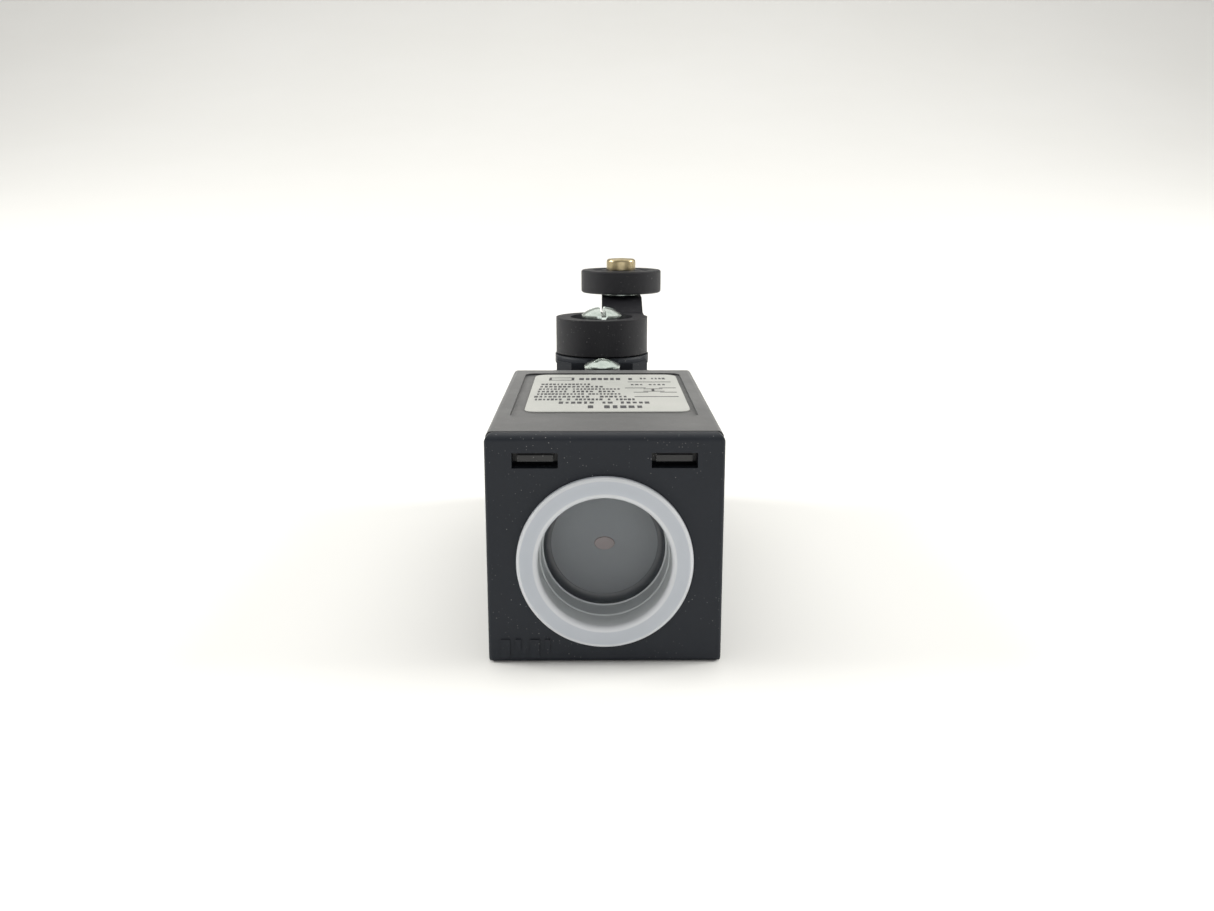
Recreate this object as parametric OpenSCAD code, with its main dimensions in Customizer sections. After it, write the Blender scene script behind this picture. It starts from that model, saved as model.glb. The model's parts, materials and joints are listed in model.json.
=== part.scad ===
// Position (limit) switch in a 30 mm moulded housing with an offset roller lever.
// Origin: on the mounting face, midway between the two fixing holes.
// +X across the housing, +Y from the conduit entry to the head, +Z out of the mounting face.

/* [Housing] */
// Width of the housing, across the fixing holes
housing_w = 30; // [30:0.5:32]
// Depth from the mounting face to the top of the cover
housing_d = 30; // [30:0.25:30.5]
// From the fixing holes to the conduit face
conduit_reach = 57; // [57:0.5:60]
// From the fixing holes to the face that carries the head
head_reach = 5; // [5:0.1:5.2]
// Thickness of the side and back walls
wall = 2.2; // [1.8:0.1:2.3]
// Radius of the moulded edges around the front
edge_r = 1.1; // [0.6:0.1:1.2]

/* [Mounting] */
// Distance between the two fixing holes
fixing_pitch = 20; // [19.8:0.1:20.2]
// Diameter of the fixing holes
fixing_hole_d = 4.3; // [4:0.1:4.4]

/* [Conduit entry] */
// Core diameter of the conduit thread
entry_core_d = 18.4; // [18.4:0.1:18.6]
// Height of the entry's centre over the mounting face
entry_z = 13.6; // [13.6:0.1:13.9]
// Depth of the threaded entry
entry_depth = 11; // [10.5:0.5:12]
// Diameter of the blanking plug's flange
plug_flange_d = 22.4; // [21.5:0.1:23]

/* [Cover] */
// Width of the nameplate
nameplate_w = 23; // [18:0.1:23]
// Length of the nameplate
nameplate_l = 32.7; // [24:0.1:33]
// Diameter of the cover screw's head
cover_screw_d = 6.2; // [6:0.1:6.6]

/* [Head and lever] */
// Side of the square head
head_w = 20.8; // [20.6:0.1:21]
// From the fixing holes to the lever shaft
shaft_y = 15; // [14.9:0.1:15.2]
// Diameter of the lever shaft
shaft_d = 6; // [5.8:0.1:6]
// Diameter of the lever's hub
hub_d = 16.8; // [16:0.1:17]
// From the shaft to the roller's axle, along the arm
lever_r = 21.2; // [20:0.1:30]
// How far the arm and the roller lie to one side of the shaft
arm_offset = 4; // [3.6:0.1:4.2]
// Angle of the lever from the housing's length, in notches of the coupling
lever_set = 0; // [0:10:30]
// Diameter of the roller
roller_d = 16; // [12:0.5:18]
// Thickness of the roller
roller_t = 4.4; // [4:0.1:5]
// Number of notches in the lever's coupling
coupling_teeth = 36; // [24:12:36]

/* [Switching] */
// Travel of the plunger and of the moving contacts
travel = 3; // [2:0.1:3]

/* [Hidden] */
$fn = 72;
eps = 0.01;
run = 0.05;            // radial running clearance
gap = 0.3;             // moulding gap between separate shells

// Housing
half_w = housing_w / 2;
corner_r = 0.6;        // upright edges
foot_r = 0.7;          // edges around the mounting face
y_conduit = -conduit_reach;
y_head = head_reach;
front_top_t = 2;       // front wall above the latch ledge
front_t = 3;           // front wall below it
ledge_z = 24;
rim_z = housing_d - 4; // top of the side walls
deck_z = rim_z + 1;    // top of the solid end behind the cover
deck_y = -3.5;
chamber_end = -6.5;
in_w = half_w - wall;
y_front_in = y_conduit + front_top_t;
boss_r = entry_core_d / 2 + 2.4;
latch_x = 8.7;
latch_w = 5.75;        // windows that the cover's hooks reach into
latch_z = [rim_z - 0.25, rim_z + 1.7];
latch_wall_y = y_conduit + 6.4;
lip_t = 0.9;
lip_z = rim_z + 1.3;
passage_r = 4.2;       // bore for the plunger and its spring
stem_r = 2.4;
axis_z = 15;           // height of the plunger's axis
insert_r = 2.6;
insert_z = 20.5;
pillar_x = 9.8;
pillar_y = -20;
block_screw_r = 1.1;

// Cover
cover_y0 = y_front_in + 0.4;
cover_y1 = deck_y - gap;
skirt_t = 1;
skirt_z = rim_z + 0.15;
cover_under = housing_d - 1.8;
recess_depth = 0.3;
recess_x = 12.7;
recess_y = [y_conduit + 11.8, y_conduit + 49.6];
nameplate_x = 0.5;
nameplate_y = y_conduit + 32.45;
nameplate_t = 0.2;
tongue_x = 5.6;
tongue_z = [deck_z + 0.2, deck_z + 1.6];
screw_boss_r = 3;
screw_boss_z = housing_d - 0.1;
cover_shank_r = 1.75;

// Blanking plug
plug_r = entry_core_d / 2 - run;
plug_proud = 1.1;
plug_floor = 9;
plug_mouth_r = 8.5;

// Head
head_y = [y_head + 0.6, y_head + 0.6 + head_w];
head_z = [axis_z - head_w / 2, axis_z + head_w / 2];
plinth_x = 8.2;
plinth_chamfer = 2.7;
plinth_z = housing_d - 0.4;
collar_r = 8.6;
collar_z = housing_d + 0.4;
cavity_r = 7.2;
cavity_end = head_y[0] + 16;
shaft_r = shaft_d / 2;
journal_r = 2;
journal_z = [head_z[0] + 1, 9];
bush_r = 4.5;
bush_z = [25, 28.4];
head_screw_pos = [[5.7, axis_z + 7.4], [-5.7, axis_z - 7.4]];
head_screw_r = 1.45;
head_screw_seat = head_y[1] - 2.2;
cam_r = 5;
cam_z = [11.5, 18.5];
plunger_r = 3.6;
plunger_y = [y_head + 0.1, shaft_y - cam_r - 0.1];
guide_t = 3;

// Lever
hub_r = hub_d / 2;
hub_z = [collar_z + 0.3, collar_z + 6.7];
web_z = [hub_z[0] + 3.2, hub_z[0] + 4.3];
hub_recess_r = 5.75;
arm_top = hub_z[1] + 2.2;
arm_t = 3;
arm_end_r = 3.9;
disc_r = 5.9;
tooth_h = 0.5;
axle_r = 1.75;
roller_bush_r = 2.5;
roller_z0 = arm_top + 0.6;
roller_z1 = roller_z0 + roller_t;

// Contact block
block_x = 11.8;
block_y = [-34.4, -7];
block_z = [wall + 0.1, axis_z, 21.4];
block_in_x = 8.3;
block_in_y = [-33.2, -8.2];
block_in_z = [10.6, 19.4];
carrier_x = 3.4;
carrier_y = [-27.5, -8.6];
contact_t = 0.8;
nc_window = [-17.2, -12.2];
no_window = [-26.3, -21.3];
nc_contact_y = nc_window[1] + 0.05;
no_contact_y = no_window[0] - travel - 0.05 - contact_t;
tab_z = [block_z[2], block_z[2] + contact_t];
nc_tab_y = [nc_contact_y + contact_t - 6.25, nc_contact_y + contact_t];
no_tab_y = [no_contact_y, no_contact_y + 7.5];
terminal_x = 8.3;
nc_terminal_y = -14.6;
no_terminal_y = -26.1;
terminals = [for (x = [-terminal_x, terminal_x], y = [nc_terminal_y, no_terminal_y]) [x, y]];

// ---- shapes that several pieces share ----

function arc(cx, cy, r, a0, a1, n = 6) =
    [for (i = [0:n]) let (a = a0 + (a1 - a0) * i / n) [cx + r * cos(a), cy + r * sin(a)]];

function round_rect(x0, y0, x1, y1, r) = concat(
    arc(x0 + r, y0 + r, r, 180, 270), arc(x1 - r, y0 + r, r, 270, 360),
    arc(x1 - r, y1 - r, r, 0, 90), arc(x0 + r, y1 - r, r, 90, 180));

// Block between two corners
module block(x, y, z) {
    translate([x[0], y[0], z[0]]) cube([x[1] - x[0], y[1] - y[0], z[1] - z[0]]);
}

// Outlines in the YZ, XZ and XY planes, extruded along X, Y and Z
module prism_x(points, x0, x1) {
    translate([x0, 0, 0]) rotate([90, 0, 90]) linear_extrude(x1 - x0) polygon(points);
}

module prism_y(points, y0, y1) {
    translate([0, y1, 0]) rotate([90, 0, 0]) linear_extrude(y1 - y0) polygon(points);
}

module prism_z(points, z0, z1) {
    translate([0, 0, z0]) linear_extrude(z1 - z0) polygon(points);
}

// Round bar or bore along Y from y0 to y1, centred at x, z
module rod_y(r, y0, y1, x = 0, z = axis_z) {
    translate([x, y1, z]) rotate([90, 0, 0]) cylinder(r = r, h = y1 - y0);
}

// Round bar or bore along Z from z0 to z1
module rod_z(r, z0, z1, x = 0, y = 0) {
    translate([x, y, z0]) cylinder(r = r, h = z1 - z0);
}

module tube_z(r_out, r_in, z0, z1, x = 0, y = 0) {
    difference() {
        rod_z(r_out, z0, z1, x, y);
        rod_z(r_in, z0 - 1, z1 + 1, x, y);
    }
}

// Pan-head screw with a cross recess: seat at z = 0, head above, shank below
module pan_screw(head_r, wall_h, dome_h, shank_r, shank_l) {
    ball_r = (head_r * head_r + dome_h * dome_h) / (2 * dome_h);
    top = wall_h + dome_h;
    difference() {
        intersection() {
            cylinder(r = head_r, h = top + 1);
            translate([0, 0, top - ball_r]) sphere(r = ball_r, $fn = 96);
        }
        for (a = [0, 90]) rotate([0, 0, a])
            translate([-head_r * 0.55, -head_r * 0.12, top * 0.55])
                cube([head_r * 1.1, head_r * 0.24, top]);
    }
    translate([0, 0, -shank_l]) cylinder(r = shank_r, h = shank_l + eps);
}

// Closed helical spring along Z from z = 0 to z = length, as rings of wire_n points
module coil(mean_r, wire_r, length, turns, wire_n = 8, step = 20) {
    rings = turns * 360 / step;
    lift = length - 2 * wire_r;
    points = [for (i = [0:rings], j = [0:wire_n - 1])
        let (a = i * step, b = j * 360 / wire_n, r = mean_r + wire_r * cos(b))
        [r * cos(a), r * sin(a), wire_r + lift * i / rings + wire_r * sin(b)]];
    sides = [for (i = [0:rings - 1], j = [0:wire_n - 1])
        let (k = (j + 1) % wire_n)
        [i * wire_n + j, i * wire_n + k, (i + 1) * wire_n + k, (i + 1) * wire_n + j]];
    ends = [[for (j = [wire_n - 1:-1:0]) j], [for (j = [0:wire_n - 1]) rings * wire_n + j]];
    polyhedron(points, concat(sides, ends), convexity = 10);
}

// Spring along Y from y0 to y1 on the plunger's axis
module coil_y(mean_r, wire_r, y0, y1, turns) {
    translate([0, y1, axis_z]) rotate([90, 0, 0]) coil(mean_r, wire_r, y1 - y0, turns);
}

module at_shaft() {
    translate([0, shaft_y, 0]) children();
}

// Lever's own frame: shaft at the origin, arm along +Y
module on_lever() {
    at_shaft() rotate([0, 0, -lever_set]) children();
}

module at_roller() {
    on_lever() translate([arm_offset, lever_r, 0]) children();
}

// ---- housing ----

module housing_outline() {
    side = concat(
        arc(y_conduit + foot_r, foot_r, foot_r, 270, 180, 4),
        arc(y_conduit + edge_r, housing_d - edge_r, edge_r, 180, 90),
        [[y_front_in, housing_d], [y_front_in, rim_z], [deck_y, rim_z], [deck_y, deck_z]],
        arc(y_head - 0.5, deck_z - 0.5, 0.5, 90, 0, 4),
        [[y_head, 0]]);
    intersection() {
        prism_z(round_rect(-half_w, y_conduit, half_w, y_head, corner_r), 0, housing_d);
        prism_x(side, -half_w - 1, half_w + 1);
        prism_y(concat(arc(half_w - foot_r, foot_r, foot_r, 270, 360, 4),
                arc(half_w - edge_r, housing_d - edge_r, edge_r, 0, 90),
                arc(-half_w + edge_r, housing_d - edge_r, edge_r, 90, 180),
                arc(-half_w + foot_r, foot_r, foot_r, 180, 270, 4)), y_conduit - 1, y_head + 1);
    }
}

// Raised mould marks in the conduit face's lower corner
module mould_marks() {
    mark_z = [0.8, 3.2];
    for (i = [0:3])
        block([-13.4 + i * 1.9, -12.2 + i * 1.9 - (i % 2) * 0.5], [y_conduit - 0.22, y_conduit + 0.5],
            [mark_z[0] + (i % 2) * 0.8, mark_z[1]]);
}

module base_housing() {
    color([0.17, 0.17, 0.19]) difference() {
        union() {
            difference() {
                housing_outline();
                block([-in_w, in_w], [y_conduit + front_t, chamber_end], [wall, housing_d + 1]);
                block([-in_w, in_w], [y_front_in, y_conduit + front_t + eps], [ledge_z, housing_d + 1]);
            }
            rod_y(boss_r, y_conduit + 1.5, y_conduit + entry_depth, 0, entry_z);
            block([-6, 6], [y_conduit + 2, y_conduit + entry_depth], [wall - 0.5, 5]);
            block([-in_w - 0.5, in_w + 0.5], [latch_wall_y, latch_wall_y + lip_t], [wall - 0.5, rim_z - 0.5]);
            difference() {
                block([-in_w - lip_t, in_w + lip_t], [latch_wall_y, chamber_end + lip_t], [rim_z - 1, lip_z]);
                block([-in_w, in_w], [latch_wall_y + lip_t, chamber_end], [rim_z - 2, lip_z + 1]);
            }
            for (x = [-pillar_x, pillar_x]) rod_z(2.4, wall - 0.5, 6, x, pillar_y);
            mould_marks();
        }
        rod_y(entry_core_d / 2, y_conduit - 1, y_conduit + entry_depth + 1, 0, entry_z);
        for (x = [-latch_x, latch_x])
            block([x - latch_w / 2, x + latch_w / 2], [y_conduit - 1, y_front_in + 0.5], latch_z);
        for (x = [-fixing_pitch / 2, fixing_pitch / 2]) rod_z(fixing_hole_d / 2, -1, deck_z + 1, x);
        rod_y(passage_r, -4.5, y_head + 1);
        rod_y(stem_r + run, chamber_end - 1, -4);
        rod_z(insert_r, insert_z, deck_z + 1);
        for (p = head_screw_pos) rod_y(head_screw_r, -4, y_head + 1, p[0], p[1]);
        for (x = [-pillar_x, pillar_x]) rod_z(block_screw_r, 1, 7, x, pillar_y);
    }
}

// ---- cover ----

module front_cover() {
    long_edge = 0.8;
    far_corner = 1;
    nib_y = y_conduit + 0.8;
    color([0.2, 0.2, 0.21]) difference() {
        union() {
            difference() {
                intersection() {
                    prism_y(concat([[-half_w, skirt_z], [half_w, skirt_z]],
                            arc(half_w - long_edge, housing_d - long_edge, long_edge, 0, 90),
                            arc(-half_w + long_edge, housing_d - long_edge, long_edge, 90, 180)),
                        cover_y0, cover_y1);
                    prism_x(concat([[cover_y0, skirt_z], [cover_y1, skirt_z]],
                            arc(cover_y1 - 0.3, housing_d - 0.3, 0.3, 0, 90, 4),
                            arc(cover_y0 + 0.3, housing_d - 0.3, 0.3, 90, 180, 4)),
                        -half_w - 1, half_w + 1);
                    prism_z(concat([[-half_w, cover_y0], [half_w, cover_y0]],
                            arc(half_w - far_corner, cover_y1 - far_corner, far_corner, 0, 90),
                            arc(-half_w + far_corner, cover_y1 - far_corner, far_corner, 90, 180)),
                        skirt_z, housing_d);
                }
                block([-half_w + skirt_t, half_w - skirt_t], [cover_y0 + skirt_t, cover_y1 - skirt_t],
                    [skirt_z - 1, cover_under]);
            }
            for (x = [-latch_x, latch_x])
                prism_x([[cover_y0 + 0.5, rim_z + 0.45], [nib_y, rim_z + 0.45], [nib_y, rim_z + 1.25],
                        [nib_y + 0.15, rim_z + 1.4], [cover_y0 + 0.5, rim_z + 1.4]], x - 2.25, x + 2.25);
            prism_z(concat([[-tongue_x, cover_y1 - 0.7]], [[tongue_x, cover_y1 - 0.7]],
                    arc(tongue_x - 2.5, 4.6 - 2.5, 2.5, 0, 90),
                    arc(-tongue_x + 2.5, 4.6 - 2.5, 2.5, 90, 180)), tongue_z[0], tongue_z[1]);
            rod_z(screw_boss_r, tongue_z[0], screw_boss_z);
        }
        prism_z(round_rect(-recess_x, recess_y[0], recess_x, recess_y[1], 1.6),
            housing_d - recess_depth, housing_d + 1);
        rod_z(cover_shank_r + 0.15, tongue_z[0] - 1, housing_d + 1);
    }
}

module cover_gasket() {
    color([0.12, 0.12, 0.12]) difference() {
        block([-in_w - 1.1, in_w + 1.1], [latch_wall_y - 0.2, chamber_end + 1.1], [lip_z + 0.1, cover_under]);
        block([-in_w + 0.2, in_w - 0.2], [latch_wall_y + 1.1, chamber_end - 0.2], [lip_z, cover_under + 1]);
    }
}

module nameplate() {
    z0 = housing_d - recess_depth;
    color([0.84, 0.84, 0.81]) translate([nameplate_x, nameplate_y, 0])
        prism_z(round_rect(-nameplate_w / 2, -nameplate_l / 2, nameplate_w / 2, nameplate_l / 2, 2),
            z0, z0 + nameplate_t);
}

module cover_screw() {
    color([0.75, 0.77, 0.75]) translate([0, 0, screw_boss_z])
        pan_screw(cover_screw_d / 2, 0.4, 1.1, cover_shank_r, 5.9);
}

module screw_insert() {
    color([0.78, 0.66, 0.36]) tube_z(insert_r, cover_shank_r + 0.35, insert_z, deck_z - 0.1);
}

// ---- conduit entry ----

module blanking_plug() {
    flange_r = plug_flange_d / 2;
    soft = 0.4;
    profile = concat(
        [[0, plug_floor - 0.3], [0.9, plug_floor - 0.3], [0.9, plug_floor], [7.7, plug_floor],
            [8, plug_floor - 0.3], [8.35, 6], [8.35, 2.8], [plug_mouth_r, 2.6]],
        arc(plug_mouth_r + soft, soft, soft, 180, 270, 4),
        arc(flange_r - soft, soft, soft, 270, 360, 4),
        [[flange_r, plug_proud], [plug_r, plug_proud], [plug_r, plug_floor + 0.4],
            [plug_r - 0.5, plug_floor + 0.9], [0, plug_floor + 0.9]]);
    color([0.78, 0.8, 0.84]) translate([0, y_conduit - plug_proud, entry_z]) rotate([-90, 0, 0])
        rotate_extrude() polygon(profile);
}

// ---- contact block ----

module contact_block_base() {
    color([0.82, 0.8, 0.74]) difference() {
        block([-block_x, block_x], block_y, [block_z[0], block_z[1]]);
        block([-block_in_x, block_in_x], block_in_y, [block_in_z[0], block_z[1] + 1]);
        rod_y(stem_r + 0.1, block_in_y[1] - 1, block_y[1] + 1);
        for (x = [-pillar_x, pillar_x]) {
            rod_z(2.5, 0, 6.1, x, pillar_y);
            rod_z(block_screw_r + 0.1, 0, block_z[1] + 1, x, pillar_y);
        }
    }
}

module contact_block_cap() {
    color([0.86, 0.84, 0.78]) difference() {
        block([-block_x, block_x], block_y, [block_z[1], block_z[2]]);
        block([-block_in_x, block_in_x], block_in_y, [block_z[1] - 1, block_in_z[1]]);
        rod_y(stem_r + 0.1, block_in_y[1] - 1, block_y[1] + 1);
        for (x = [-pillar_x, pillar_x]) rod_z(block_screw_r + 0.1, block_z[1] - 1, block_z[2] + 1, x, pillar_y);
        for (x = [-6.8, 6.8], y = [nc_contact_y, no_contact_y])
            block([x - 1.4, x + 1.4], [y, y + contact_t], [block_in_z[1] - 1, block_z[2] + 1]);
        for (p = terminals) rod_z(1.4, block_z[2] - 1.8, block_z[2] + 1, p[0], p[1]);
    }
}

// Contact plate on side s (-1 left, 1 right): pad, riser through the cap, and terminal tab
module contact_plate(s, pad_y, tab_y, terminal_y) {
    color([0.8, 0.62, 0.45]) mirror([s < 0 ? 1 : 0, 0, 0]) difference() {
        union() {
            block([4.4, 8.2], [pad_y, pad_y + contact_t], [12.9, 17.2]);
            block([5.4, 8.2], [pad_y, pad_y + contact_t], [17, tab_z[1]]);
            block([5, 11.4], tab_y, tab_z);
        }
        rod_z(1.4, tab_z[0] - 1, tab_z[1] + 1, terminal_x, terminal_y);
    }
}

module contact_nc_left() { contact_plate(-1, nc_contact_y, nc_tab_y, nc_terminal_y); }
module contact_nc_right() { contact_plate(1, nc_contact_y, nc_tab_y, nc_terminal_y); }
module contact_no_left() { contact_plate(-1, no_contact_y, no_tab_y, no_terminal_y); }
module contact_no_right() { contact_plate(1, no_contact_y, no_tab_y, no_terminal_y); }

module clamp_saddles() {
    color([0.7, 0.71, 0.7]) for (p = terminals) translate([p[0], p[1], tab_z[1]]) difference() {
        union() {
            block([-2.7, 2.7], [-2.6, 2.6], [0, 0.8]);
            for (s = [-1, 1]) block([-2.7, 2.7], [s * 2.3 - 0.3, s * 2.3 + 0.3], [0, 1.2]);
        }
        rod_z(1.6, -1, 2);
    }
}

module terminal_screws() {
    color([0.75, 0.77, 0.75]) for (p = terminals) translate([p[0], p[1], tab_z[1] + 0.8])
        pan_screw(1.95, 1.2, 0.6, 1.4, 3.2);
}

module block_screws() {
    color([0.75, 0.77, 0.75]) for (x = [-pillar_x, pillar_x]) translate([x, pillar_y, block_z[2]])
        pan_screw(1.9, 0.9, 0.5, block_screw_r, 19.6);
}

module contact_carrier() {
    color([0.75, 0.2, 0.16]) {
        difference() {
            union() {
                block([-carrier_x, carrier_x], carrier_y, [axis_z - 2.6, axis_z + 2.6]);
                rod_y(stem_r, carrier_y[1] - 1, y_head);
            }
            for (w = [nc_window, no_window]) block([-carrier_x - 1, carrier_x + 1], w, [axis_z - 2, axis_z + 2]);
        }
    }
}

module bridge(y) {
    color([0.8, 0.62, 0.45]) block([-7.6, 7.6], [y, y + contact_t], [axis_z - 1.95, axis_z + 1.95]);
}

module bridge_nc() { bridge(nc_window[1] - contact_t); }
module bridge_no() { bridge(no_window[0]); }

module bridge_springs() {
    color([0.8, 0.8, 0.8]) {
        coil_y(1.3, 0.2, nc_window[0], nc_window[1] - contact_t, 5);
        coil_y(1.3, 0.2, no_window[0] + contact_t, no_window[1], 5);
    }
}

module return_spring() {
    color([0.8, 0.8, 0.8]) coil_y(1.8, 0.25, block_in_y[0], carrier_y[0], 5);
}

// ---- head ----

module head_screw_holes(r) {
    for (p = head_screw_pos) rod_y(r, y_head - 1, head_y[1] + 1, p[0], p[1]);
}

module head_gasket() {
    color([0.12, 0.12, 0.12]) difference() {
        prism_y(round_rect(-head_w / 2 + 0.4, head_z[0] + 0.4, head_w / 2 - 0.4, head_z[1] - 0.4, 1.5),
            y_head, head_y[0]);
        rod_y(cavity_r, y_head - 1, head_y[0] + 1);
        head_screw_holes(1.6);
    }
}

module head_housing() {
    side = head_w / 2;
    c = plinth_chamfer;
    color([0.15, 0.15, 0.16]) difference() {
        union() {
            intersection() {
                prism_y(round_rect(-side, head_z[0], side, head_z[1], 1.2), head_y[0], head_y[1]);
                prism_z(round_rect(-side, head_y[0], side, head_y[1], 0.8), head_z[0] - 1, head_z[1] + 1);
            }
            at_shaft() {
                prism_z([[-plinth_x, -plinth_x + c], [-plinth_x + c, -plinth_x], [plinth_x - c, -plinth_x],
                        [plinth_x, -plinth_x + c], [plinth_x, plinth_x - c], [plinth_x - c, plinth_x],
                        [-plinth_x + c, plinth_x], [-plinth_x, plinth_x - c]], head_z[1] - 1, plinth_z);
                rod_z(collar_r, plinth_z - 0.8, collar_z);
            }
        }
        rod_y(cavity_r, head_y[0] - 1, cavity_end);
        at_shaft() {
            rod_z(bush_r, bush_z[0], collar_z + 1);
            rod_z(shaft_r + 0.3, axis_z, bush_z[0] + 1);
            rod_z(journal_r + run, journal_z[0], axis_z);
        }
        head_screw_holes(1.6);
        for (p = head_screw_pos) rod_y(2.5, head_screw_seat, head_y[1] + 1, p[0], p[1]);
    }
}

module head_screws() {
    color([0.75, 0.77, 0.75]) for (p = head_screw_pos) translate([p[0], head_screw_seat, p[1]])
        rotate([-90, 0, 0]) pan_screw(2.35, 1.3, 0.7, head_screw_r, head_screw_seat + 3.6);
}

module plunger_guide() {
    color([0.82, 0.8, 0.74]) difference() {
        rod_y(cavity_r, head_y[0], head_y[0] + guide_t);
        rod_y(plunger_r + run, head_y[0] - 1, head_y[0] + guide_t + 1);
    }
}

module head_plunger() {
    color([0.86, 0.85, 0.8]) translate([0, plunger_y[0], axis_z]) rotate([-90, 0, 0]) rotate_extrude()
        polygon([[0, 0], [plunger_r, 0], [plunger_r, plunger_y[1] - plunger_y[0] - 0.6],
            [plunger_r - 0.6, plunger_y[1] - plunger_y[0]], [0, plunger_y[1] - plunger_y[0]]]);
}

module plunger_spring() {
    color([0.8, 0.8, 0.8]) coil_y(3.15, 0.35, -4.45, y_head, 6);
}

module shaft_bush() {
    color([0.78, 0.66, 0.36]) at_shaft() tube_z(bush_r, shaft_r + run, bush_z[0], bush_z[1]);
}

module shaft_seal() {
    ring_r = (bush_r - shaft_r - run) / 2;
    color([0.1, 0.1, 0.1]) at_shaft() translate([0, 0, bush_z[1] + ring_r])
        rotate_extrude() translate([bush_r - ring_r, 0]) circle(r = ring_r, $fn = 32);
}

module lever_shaft() {
    color([0.72, 0.73, 0.74]) at_shaft() difference() {
        union() {
            rod_z(journal_r, journal_z[0] + 0.1, journal_z[1] + 1);
            rod_z(shaft_r, journal_z[1], web_z[1]);
        }
        rod_z(2, web_z[1] - 9.5, web_z[1] + 1);
        tube_z(shaft_r + 1, shaft_r - 0.4, 19.2, 20);
        translate([-shaft_r - 1, 0, axis_z]) rotate([0, 90, 0]) cylinder(r = 0.75, h = shaft_d + 2);
    }
}

module cam() {
    notch = 1.5;
    color([0.7, 0.7, 0.68]) at_shaft() difference() {
        rod_z(cam_r, cam_z[0], cam_z[1]);
        rod_z(shaft_r, cam_z[0] - 1, cam_z[1] + 1);
        prism_z([[-notch, -cam_r - eps], [notch, -cam_r - eps], [0, -cam_r + notch]],
            cam_z[0] - 1, cam_z[1] + 1);
        translate([-cam_r - 1, 0, axis_z]) rotate([0, 90, 0]) cylinder(r = 0.75, h = 2 * cam_r + 2);
    }
}

module cam_pin() {
    color([0.7, 0.71, 0.72]) at_shaft() translate([-4.8, 0, axis_z]) rotate([0, 90, 0])
        cylinder(r = 0.75, h = 9.6);
}

module circlip() {
    color([0.4, 0.4, 0.42]) at_shaft() difference() {
        tube_z(shaft_r + 1.1, shaft_r - 0.4, 19.2, 20);
        block([-1.2, 1.2], [0, 6], [19, 21]);
    }
}

// ---- lever ----

module coupling_ring(z0, z1) {
    for (i = [0:coupling_teeth - 1]) rotate([0, 0, i * 360 / coupling_teeth])
        block([3.7, disc_r - 0.3], [-0.17, 0.17], [z0, z1]);
}

module lever_coupling() {
    color([0.7, 0.71, 0.72]) on_lever() {
        difference() {
            union() {
                rod_z(disc_r, hub_z[0] + 0.3, web_z[0] - tooth_h);
                coupling_ring(web_z[0] - tooth_h - 0.2, web_z[0]);
            }
            rod_z(shaft_r, hub_z[0] - 1, web_z[0] + 1);
        }
    }
}

module lever_arm() {
    root = 1.5;
    root_x = [arm_offset - arm_end_r + 0.1, arm_offset + arm_end_r + 0.1];
    knee = [9.8, 14.6];
    arm_under = arm_top - arm_t;
    color([0.14, 0.14, 0.15]) on_lever() difference() {
        union() {
            rod_z(hub_r, hub_z[0], hub_z[1]);
            intersection() {
                prism_z(concat([[root_x[0], root], [root_x[1], root]],
                    arc(arm_offset, lever_r, arm_end_r, 0, 180, 16)), hub_z[0], arm_top + 1);
                prism_x([[root, hub_z[0] + 2.3], [knee[0], hub_z[0] + 2.3], [knee[1] + 0.4, arm_under],
                    [lever_r + 6, arm_under], [lever_r + 6, arm_top], [knee[1], arm_top],
                    [knee[0] + 0.2, hub_z[1] - 0.2], [root, hub_z[1] - 0.2]], -hub_r, hub_r + 1);
            }
        }
        rod_z(disc_r + 0.2, hub_z[0] - 1, web_z[0] - tooth_h);
        rod_z(hub_recess_r, web_z[1], hub_z[1] + 1);
        rod_z(shaft_r, hub_z[0], hub_z[1]);
        coupling_ring(web_z[0] - tooth_h - 0.2, web_z[0]);
        rod_z(axle_r, arm_under - 1, arm_top + 1, arm_offset, lever_r);
    }
}

module lever_washer() {
    color([0.75, 0.77, 0.75]) at_shaft() tube_z(4.75, 2.1, web_z[1], web_z[1] + 0.8);
}

module lever_screw() {
    color([0.75, 0.77, 0.75]) on_lever() translate([0, 0, web_z[1] + 0.8])
        pan_screw(3.7, 1.7, 1.4, 2, 9.5);
}

module roller() {
    edge = 0.25;
    hub_step = 0.3;
    r = roller_d / 2;
    color([0.16, 0.16, 0.16]) at_roller() translate([0, 0, roller_z0]) rotate_extrude()
        polygon([[roller_bush_r + run, 0], [r - edge, 0], [r, edge], [r, roller_t - edge],
            [r - edge, roller_t], [5.8, roller_t], [5.5, roller_t - hub_step],
            [4.2, roller_t - hub_step], [3.9, roller_t], [roller_bush_r + run, roller_t]]);
}

module roller_bush() {
    color([0.78, 0.66, 0.36]) at_roller() tube_z(roller_bush_r, axle_r, roller_z0 - 0.1, roller_z1 + 0.1);
}

module roller_washer() {
    color([0.75, 0.77, 0.75]) at_roller() tube_z(3.4, axle_r, arm_top, roller_z0 - 0.1);
}

module roller_axle() {
    head_r = 2.9;
    head_h = 2.1;
    z0 = roller_z1 + 0.1;
    under = arm_top - arm_t;
    color([0.76, 0.68, 0.45]) at_roller() rotate_extrude() polygon(concat(
        [[0, under - 0.8], [2.2, under - 0.8], [2.6, under - 0.5], [2.6, under], [axle_r, under],
            [axle_r, z0], [head_r, z0]],
        arc(head_r - 0.6, z0 + head_h - 0.6, 0.6, 0, 90, 4),
        [[1.5, z0 + head_h], [1.2, z0 + head_h - 0.3], [1.2, z0 + head_h - 1.2], [0, z0 + head_h - 1.5]]));
}

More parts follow.
